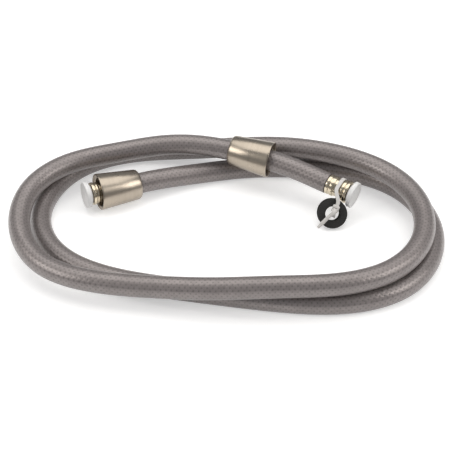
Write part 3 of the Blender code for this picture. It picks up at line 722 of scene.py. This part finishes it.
def tie_head(shape):
    """Rounded block with the slot that the strap comes back through, and the pawl that holds it."""
    origin, across, down, out = head_frame()
    lift = WASHER_THICK / 2 + GAP + TIE_HEAD[2] / 2
    middle = origin - down * TIE_HEAD_RISE + out * lift
    slot_middle = origin - down * TIE_SLOT_RISE + out * lift
    half = (TIE_HEAD[0] / 2, TIE_HEAD[1] / 2)
    slot_half = (TIE_WIDTH / 2 + 1.25 * GAP, TIE_THICK / 2 + 2 * GAP)

    def block_corner(centre, halves, x, y, rise):
        return shape.verts.new(centre + across * x * halves[0] + down * y * halves[1] + rise)

    signs = ((1, 1), (-1, 1), (-1, -1), (1, -1))
    loops = [[block_corner(centre, halves, x, y, out * level) for x, y in signs]
             for level in (-TIE_HEAD[2] / 2, TIE_HEAD[2] / 2)
             for centre, halves in ((middle, half), (slot_middle, slot_half))]
    low, low_hole, high, high_hole = loops
    for i in range(4):
        j = (i + 1) % 4
        shape.faces.new((low[i], low[j], high[j], high[i]))
        shape.faces.new((low_hole[i], low_hole[j], high_hole[j], high_hole[i]))
        shape.faces.new((low[i], low[j], low_hole[j], low_hole[i]))
        shape.faces.new((high[i], high[j], high_hole[j], high_hole[i]))
    # The bevel leaves gaps unless all faces are turned the same way before it.
    outer = set(low + high)
    bmesh.ops.recalc_face_normals(shape, faces=shape.faces)
    rim = [edge for edge in shape.edges if edge.verts[0] in outer and edge.verts[1] in outer]
    bmesh.ops.bevel(shape, geom=rim, offset=TIE_HEAD_ROUND, segments=3, profile=0.5, affect="EDGES")
    pawl = ((-1.0, -0.7), (-1.0, 0.5), (-0.55, -0.7))
    sides = [[block_corner(slot_middle, slot_half, x, y, out * z * TIE_HEAD[2] / 2) for y, z in pawl]
             for x in (-PAWL_WIDTH, PAWL_WIDTH)]
    shape.faces.new(sides[0])
    shape.faces.new(sides[1])
    for i in range(len(pawl)):
        j = (i + 1) % len(pawl)
        shape.faces.new((sides[0][i], sides[0][j], sides[1][j], sides[1][i]))


def cable_tie(made_of):
    """Slotted head and toothed strap in one piece."""
    shape = bmesh.new()
    tie_head(shape)
    strap(shape)
    made = finished("tie_finish", shape, [made_of], sharp=TIE_SHARP)
    return dress(made, "tie", "cable_tie")


# ---------------------------------------------------------------- node tools

def add(tree, kind, inputs=None, **settings):
    """One node; its inputs are values, or sockets to link."""
    made = tree.nodes.new(kind)
    for name, value in settings.items():
        setattr(made, name, value)
    for name, value in (inputs or {}).items():
        if isinstance(value, bpy.types.NodeSocket):
            tree.links.new(value, made.inputs[name])
        else:
            made.inputs[name].default_value = value
    return made


def calc(tree, operation, *values):
    """Result of one Math node."""
    return add(tree, "ShaderNodeMath", dict(enumerate(values)), operation=operation).outputs[0]


def between(tree, value, low, high):
    """A value brought from low-high to 0-1, eased."""
    inputs = {"Value": value, "From Min": low, "From Max": high}
    return add(tree, "ShaderNodeMapRange", inputs, interpolation_type="SMOOTHSTEP").outputs["Result"]


def blend(tree, share, first, second):
    """Mix of two colours, which the Mix node takes in sockets 6 and 7 and gives in socket 2."""
    return add(tree, "ShaderNodeMix", {0: share, 6: first, 7: second}, data_type="RGBA").outputs[2]


def group(name, inputs, outputs):
    """New shader group, with its input and output nodes. An input with no value is a vector."""
    tree = bpy.data.node_groups.new(name, "ShaderNodeTree")
    for label, value in inputs.items():
        kind = "NodeSocketVector" if value is None else "NodeSocketFloat"
        socket = tree.interface.new_socket(name=label, in_out="INPUT", socket_type=kind)
        if value is not None:
            socket.default_value = value
    for label in outputs:
        tree.interface.new_socket(name=label, in_out="OUTPUT", socket_type="NodeSocketFloat")
    return tree, tree.nodes.new("NodeGroupInput"), tree.nodes.new("NodeGroupOutput")


def filled(tree, made, inputs):
    """Place a group in a material and fill its inputs."""
    return add(tree, "ShaderNodeGroup", inputs, node_tree=made)


def cloud(tree, place, scale, detail, roughness, distortion=0.0):
    """Noise from 0 to 1 over a place."""
    inputs = {"Vector": place, "Scale": scale, "Detail": detail, "Roughness": roughness,
              "Distortion": distortion}
    return add(tree, "ShaderNodeTexNoise", inputs).outputs[0]


def shader(name, **sockets):
    """New material with a Principled shader, its constants set on its own sockets."""
    made = bpy.data.materials.new(name)
    made.use_nodes = True
    principled = made.node_tree.nodes["Principled BSDF"]
    for label, value in sockets.items():
        principled.inputs[label.replace("_", " ")].default_value = value
    return made, made.node_tree, principled


def grey(value, warmth=0.0):
    """Linear grey, a little warm if asked."""
    return (value * (1 + warmth), value, value * (1 - warmth), 1.0)


def rose_grey(value):
    """Linear grey of the hose, which leans to rose."""
    return (value * 1.13, value, value * 0.97, 1.0)


# ---------------------------------------------------------------- effects that several materials share

def braid_group():
    """Threads wound both ways round the hose, over and under each other, from the course along the hose."""
    tree, given, out = group("braid_weave", {"Course": None, "Starts": 12.0}, ("Height", "Shaded_gaps", "Shade"))
    course = add(tree, "ShaderNodeSeparateXYZ", {0: given.outputs["Course"]})
    starts = given.outputs["Starts"]
    profiles = []
    threads = []
    for operation in ("ADD", "SUBTRACT"):
        phase = calc(tree, "MULTIPLY", calc(tree, operation, course.outputs[0], course.outputs[1]), starts)
        profiles.append(calc(tree, "SINE", calc(tree, "MULTIPLY", calc(tree, "FRACT", phase), pi)))
        threads.append(calc(tree, "FLOOR", phase))
    over = calc(tree, "FLOORED_MODULO", calc(tree, "ADD", *threads), 2.0)
    under = calc(tree, "SUBTRACT", 1.0, over)
    levels = [calc(tree, "MULTIPLY_ADD", on_top, 1 - BRAID_UNDER, BRAID_UNDER) for on_top in (over, under)]
    raised = [calc(tree, "MULTIPLY", profile, level) for profile, level in zip(profiles, levels)]
    height = calc(tree, "MAXIMUM", *raised)
    named = [calc(tree, "MULTIPLY", calc(tree, "FLOORED_MODULO", thread, starts), on_top)
             for thread, on_top in zip(threads, (over, under))]
    key = add(tree, "ShaderNodeCombineXYZ", {0: named[0], 1: named[1], 2: over})
    noise = add(tree, "ShaderNodeTexWhiteNoise", {"Vector": key.outputs[0]}, noise_dimensions="3D")
    tree.links.new(height, out.inputs["Height"])
    # The hollows between the threads, which the finishes colour darker as painted shade.
    tree.links.new(calc(tree, "SUBTRACT", 1.0, between(tree, height, 0.28, 0.60)), out.inputs["Shaded_gaps"])
    tree.links.new(noise.outputs["Value"], out.inputs["Shade"])
    return tree


def handling_group():
    """Marks of handling: soft smudges, fine scuffs and specks of dust, in the piece's own coordinates."""
    tree, given, out = group("handling", {"Scale": 200.0}, ("Smudge", "Scuff", "Speck"))
    place = add(tree, "ShaderNodeTexCoord").outputs["Object"]
    scale = given.outputs["Scale"]
    finer, finest = (calc(tree, "MULTIPLY", scale, times) for times in (3.0, 12.0))
    stretch = {"Vector": place, "Rotation": (0.5, 0.9, 0.3), "Scale": (1.0, 9.0, 1.6)}
    turned = add(tree, "ShaderNodeMapping", stretch).outputs[0]
    soft = cloud(tree, place, scale, 4.0, 0.55)
    fine = cloud(tree, turned, finer, 5.0, 0.65, 0.4)
    dust = cloud(tree, place, finest, 2.0, 0.5)
    tree.links.new(between(tree, soft, 0.32, 0.68), out.inputs["Smudge"])
    tree.links.new(between(tree, fine, 0.58, 0.74), out.inputs["Scuff"])
    tree.links.new(between(tree, dust, 0.64, 0.72), out.inputs["Speck"])
    return tree


def turning_group():
    """Fine lines that turning and brushing leave round a piece's own X axis."""
    tree, given, out = group("turning_lines", {"Pitch": 0.0001}, ("Height", "Tone"))
    place = add(tree, "ShaderNodeSeparateXYZ", {0: add(tree, "ShaderNodeTexCoord").outputs["Object"]})
    along = calc(tree, "DIVIDE", place.outputs[0], given.outputs["Pitch"])
    round_it = [calc(tree, "MULTIPLY", place.outputs[k], STREAKS) for k in (1, 2)]
    lines = add(tree, "ShaderNodeCombineXYZ", {0: along, 1: round_it[0], 2: round_it[1]}).outputs[0]
    tree.links.new(cloud(tree, lines, 1.0, 2.0, 0.5), out.inputs["Height"])
    tree.links.new(between(tree, cloud(tree, lines, 0.13, 3.0, 0.5), 0.3, 0.7), out.inputs["Tone"])
    return tree


def woven(tree, braid):
    """The braid's weave, laid along the hose's own course."""
    course = add(tree, "ShaderNodeUVMap", uv_map="course").outputs[0]
    return filled(tree, braid, {"Course": course, "Starts": float(BRAID_STARTS)})


def touched(tree, marks, strength, under, over):
    """A colour with another one laid over it where the marks are, up to a strength."""
    return blend(tree, calc(tree, "MULTIPLY", marks, strength), under, over)


def dress_shader(tree, principled, colour, rough, height, distance, strength):
    """Feed a colour, a roughness and a bump into a shader."""
    bump = add(tree, "ShaderNodeBump", {"Height": height, "Distance": distance, "Strength": strength})
    tree.links.new(colour, principled.inputs["Base Color"])
    tree.links.new(rough, principled.inputs["Roughness"])
    tree.links.new(bump.outputs[0], principled.inputs["Normal"])


# ---------------------------------------------------------------- finishes

def jacket_finish(braid, handling):
    """Grey PVC with a soft gloss, through which the silver-grey threads show."""
    made, tree, principled = shader("grey_pvc_over_braid", Metallic=0.45, Coat_Weight=0.35,
                                    Coat_Roughness=0.22, Specular_IOR_Level=0.5)
    weave = woven(tree, braid)
    marks = filled(tree, handling, {"Scale": 45.0})
    threads = blend(tree, weave.outputs["Shade"], rose_grey(0.210), rose_grey(0.245))
    # Painted shade: the hollows between the threads take a darker rose grey.
    seen = blend(tree, weave.outputs["Shaded_gaps"], threads, rose_grey(0.148))
    clouded = touched(tree, marks.outputs["Smudge"], 0.16, seen, rose_grey(0.200))
    colour = touched(tree, marks.outputs["Speck"], 0.08, clouded, rose_grey(0.45))
    rough = calc(tree, "MULTIPLY_ADD", marks.outputs["Smudge"], 0.06, 0.36)
    dress_shader(tree, principled, colour, rough, weave.outputs["Height"], 0.00016, 0.7)
    return made


def braid_finish(braid, handling):
    """Silver-grey polyester braid."""
    made, tree, principled = shader("silver_braid", Metallic=0.2)
    weave = woven(tree, braid)
    marks = filled(tree, handling, {"Scale": 120.0})
    threads = blend(tree, weave.outputs["Shade"], grey(0.40, 0.03), grey(0.52, 0.03))
    # Painted shade: the hollows between the threads take a dark grey.
    seen = blend(tree, weave.outputs["Shaded_gaps"], threads, grey(0.16, 0.03))
    colour = touched(tree, marks.outputs["Smudge"], 0.12, seen, grey(0.3))
    rough = calc(tree, "MULTIPLY_ADD", weave.outputs["Shaded_gaps"], 0.25, 0.5)
    dress_shader(tree, principled, colour, rough, weave.outputs["Height"], 0.0003, 1.0)
    return made


def moulded_finish(name, handling, colour, shade, roughness, scale, coat=0.0):
    """Moulded plastic or rubber: a faint cloud in its colour, fine grain, scuffs and dust."""
    made, tree, principled = shader(name, Coat_Weight=coat, Coat_Roughness=0.3)
    marks = filled(tree, handling, {"Scale": scale})
    clouded = touched(tree, marks.outputs["Smudge"], 0.5, colour, shade)
    scuffed = touched(tree, marks.outputs["Scuff"], 0.12, clouded, grey(0.5))
    dusty = touched(tree, marks.outputs["Speck"], 0.15, scuffed, grey(0.42, 0.05))
    rough = calc(tree, "MULTIPLY_ADD", marks.outputs["Scuff"], 0.15, roughness)
    rough = calc(tree, "MULTIPLY_ADD", marks.outputs["Smudge"], 0.06, rough)
    height = calc(tree, "MULTIPLY_ADD", marks.outputs["Speck"], 0.3, marks.outputs["Smudge"])
    dress_shader(tree, principled, dusty, rough, height, 0.00004, 0.6)
    return made


def metal_finish(name, handling, turning, colour, shade, roughness, pitch, depth):
    """Turned and plated metal: lines round the axis, smudges, and a few scuffs."""
    made, tree, principled = shader(name, Metallic=1.0)
    marks = filled(tree, handling, {"Scale": 110.0})
    lines = filled(tree, turning, {"Pitch": pitch})
    toned = touched(tree, lines.outputs["Tone"], 0.55, colour, shade)
    handled = touched(tree, marks.outputs["Smudge"], 0.3, toned, shade)
    dusty = touched(tree, marks.outputs["Speck"], 0.1, handled, grey(0.45))
    rough = calc(tree, "MULTIPLY_ADD", marks.outputs["Smudge"], 0.05, roughness)
    rough = calc(tree, "MULTIPLY_ADD", marks.outputs["Scuff"], 0.08, rough)
    dress_shader(tree, principled, dusty, rough, lines.outputs["Height"], depth, 0.7)
    return made


def finishes():
    """All the finishes, by piece."""
    braid = braid_group()
    handling = handling_group()
    turning = turning_group()

    def moulded(name, *look):
        return moulded_finish(name, handling, *look)

    def metal(name, *look):
        return metal_finish(name, handling, turning, *look)

    return {
        "jacket": jacket_finish(braid, handling),
        "braid": braid_finish(braid, handling),
        "inner_tube": moulded("inner_tube_finish", grey(0.72, 0.01), grey(0.64, 0.02), 0.45, 150.0),
        "fitting": metal("polished_plate", *PLATE, 0.15, 0.00012, 0.0000004),
        "nut": metal("satin_nickel", *NICKEL, 0.27, 0.00009, 0.0000012),
        "bush": moulded("guide_nylon", grey(0.78, 0.02), grey(0.70, 0.03), 0.45, 260.0),
        "cap": moulded("plug_plastic", grey(0.82, 0.005), grey(0.77, 0.01), 0.38, 150.0, 0.15),
        "washer": moulded("black_rubber", grey(0.011, 0.06), grey(0.018, 0.05), 0.62, 240.0),
        "tie": moulded("natural_nylon", grey(0.66, 0.03), grey(0.58, 0.04), 0.4, 300.0),
    }


# ---------------------------------------------------------------- floor and light

def floor():
    """Pale floor that reads white to the camera and in reflections, and still takes shadows."""
    made = bpy.data.materials.new("floor_paper")
    made.use_nodes = True
    tree = made.node_tree
    tree.nodes.clear()
    seen = add(tree, "ShaderNodeLightPath")
    mirrored = calc(tree, "MAXIMUM", seen.outputs["Is Glossy Ray"], seen.outputs["Is Transmission Ray"])
    shown = calc(tree, "MAXIMUM", seen.outputs["Is Camera Ray"], mirrored)
    strength = calc(tree, "MULTIPLY", shown, FLOOR_GLOW)
    paper = add(tree, "ShaderNodeBsdfDiffuse", {"Color": PAPER})
    lift = add(tree, "ShaderNodeEmission", {"Color": WHITE, "Strength": strength})
    both = add(tree, "ShaderNodeAddShader", {0: paper.outputs[0], 1: lift.outputs[0]})
    out = add(tree, "ShaderNodeOutputMaterial", {"Surface": both.outputs[0]})
    out.is_active_output = True
    shape = bmesh.new()
    bmesh.ops.create_grid(shape, x_segments=1, y_segments=1, size=FLOOR_HALF)
    made_floor = finished("floor", shape, [made])
    made_floor.location.z = cad_box[0].z - FLOOR_DROP


def lamp(name, at, size, power, colour):
    """Soft rectangular lamp that looks at the origin."""
    data = bpy.data.lights.new(name, "AREA")
    data.shape = "RECTANGLE"
    data.size = size[0]
    data.size_y = size[1]
    data.energy = power
    data.color = colour
    made = bpy.data.objects.new(name, data)
    made.location = at
    made.rotation_mode = "QUATERNION"
    made.rotation_quaternion = (Vector((0.0, 0.0, 0.0)) - Vector(at)).to_track_quat("-Z", "Y")
    bpy.context.scene.collection.objects.link(made)


def light():
    """Soft box overhead and a little behind, one at each side, and a dim room."""
    for values in LAMPS:
        lamp(*values)
    world = bpy.data.worlds.new("room")
    world.use_nodes = True
    tree = world.node_tree
    tree.nodes.clear()
    seen = add(tree, "ShaderNodeLightPath")
    room = add(tree, "ShaderNodeBackground", {"Color": ROOM, "Strength": ROOM_STRENGTH}).outputs[0]
    white = add(tree, "ShaderNodeBackground", {"Color": WHITE, "Strength": 1.0}).outputs[0]
    either = add(tree, "ShaderNodeMixShader", {0: seen.outputs["Is Camera Ray"], 1: room, 2: white})
    add(tree, "ShaderNodeOutputWorld", {"Surface": either.outputs[0]})
    bpy.context.scene.world = world


# ---------------------------------------------------------------- assembly

def main():
    """Make the camera, light and floor, then the hose and every piece on it."""
    bpy.context.scene.view_settings.view_transform = "Standard"
    camera()
    light()
    floor()
    finish = finishes()
    made_hose, centres = hose(finish)
    place_a = placed(Vector(END_A), direction(HEADING_A, DROP_A))
    place_b = placed(Vector(END_B) + direction_b() * FITTING_LENGTH, -direction_b())
    on_hose = []
    for side, placing in (("a", place_a), ("b", place_b)):
        on_hose.append(nipple(side, placing, finish["fitting"]))
        on_hose.append(ferrule(side, placing, finish["fitting"]))
        on_hose.append(plug(side, placing, finish["cap"]))
    land_a = Vector(END_A) + direction(HEADING_A, DROP_A) * (NUT_A_BACK + BUSH_FRONT + BUSH_LAND / 2)
    on_hose += nut_on_hose("a", land_a, direction(HEADING_A, DROP_A + NUT_A_TIP), finish)
    land_b, ahead = on_arc(NUT_B_TURN)
    on_hose += nut_on_hose("b", land_b, -ahead, finish)
    back, front, face = washer_places()
    on_hose.append(washer(1, front, face, finish["washer"], "front_washer"))
    on_hose.append(washer(2, back, face, finish["washer"], "back_washer"))
    on_hose.append(cable_tie(finish["tie"]))


main()
